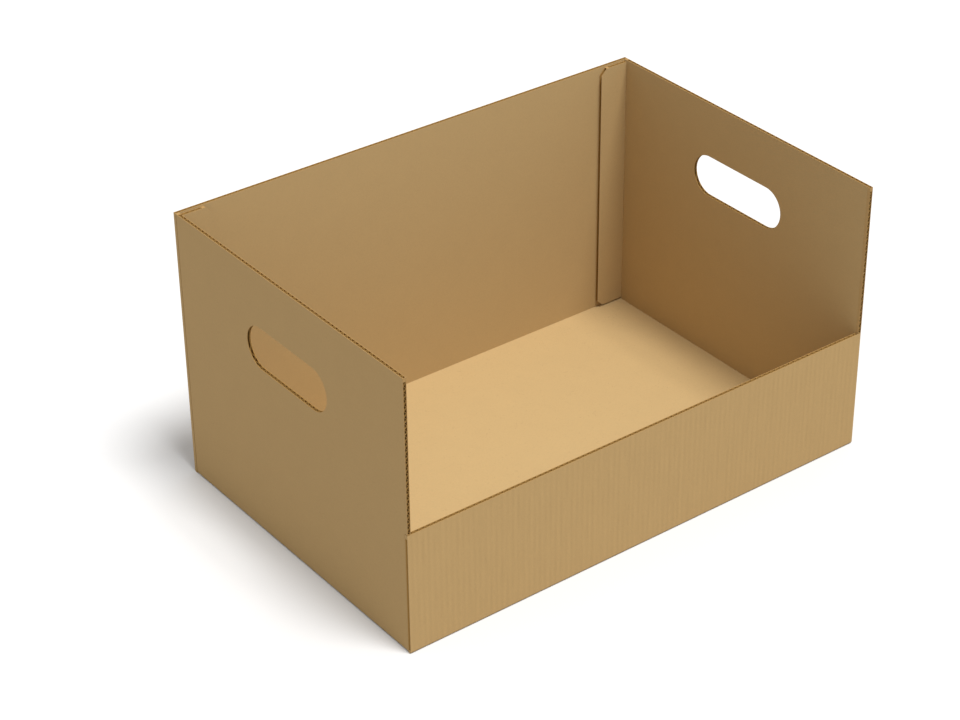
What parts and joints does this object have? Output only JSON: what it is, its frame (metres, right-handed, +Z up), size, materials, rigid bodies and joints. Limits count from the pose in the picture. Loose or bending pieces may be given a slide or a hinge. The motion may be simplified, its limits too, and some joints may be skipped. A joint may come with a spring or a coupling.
{
  "type": "cardboard tray box",
  "caption": "Open-topped corrugated cardboard tray box with a low front wall, tall back and side walls, round-ended hand holes and glued corner tabs.",
  "frame": {"origin": "middle of the underside, in the plane that the box stands on", "axes": "+X along the width to the right as seen from the low front wall, +Y from the front to the back, +Z up"},
  "size_m": [0.45, 0.3, 0.24],
  "materials": {
    "kraft_board": "matt uncoated kraft paper over corrugated board"
  },
  "bodies": {
    "root": {"tray_box": "kraft_board"}
  },
  "joints": []
}
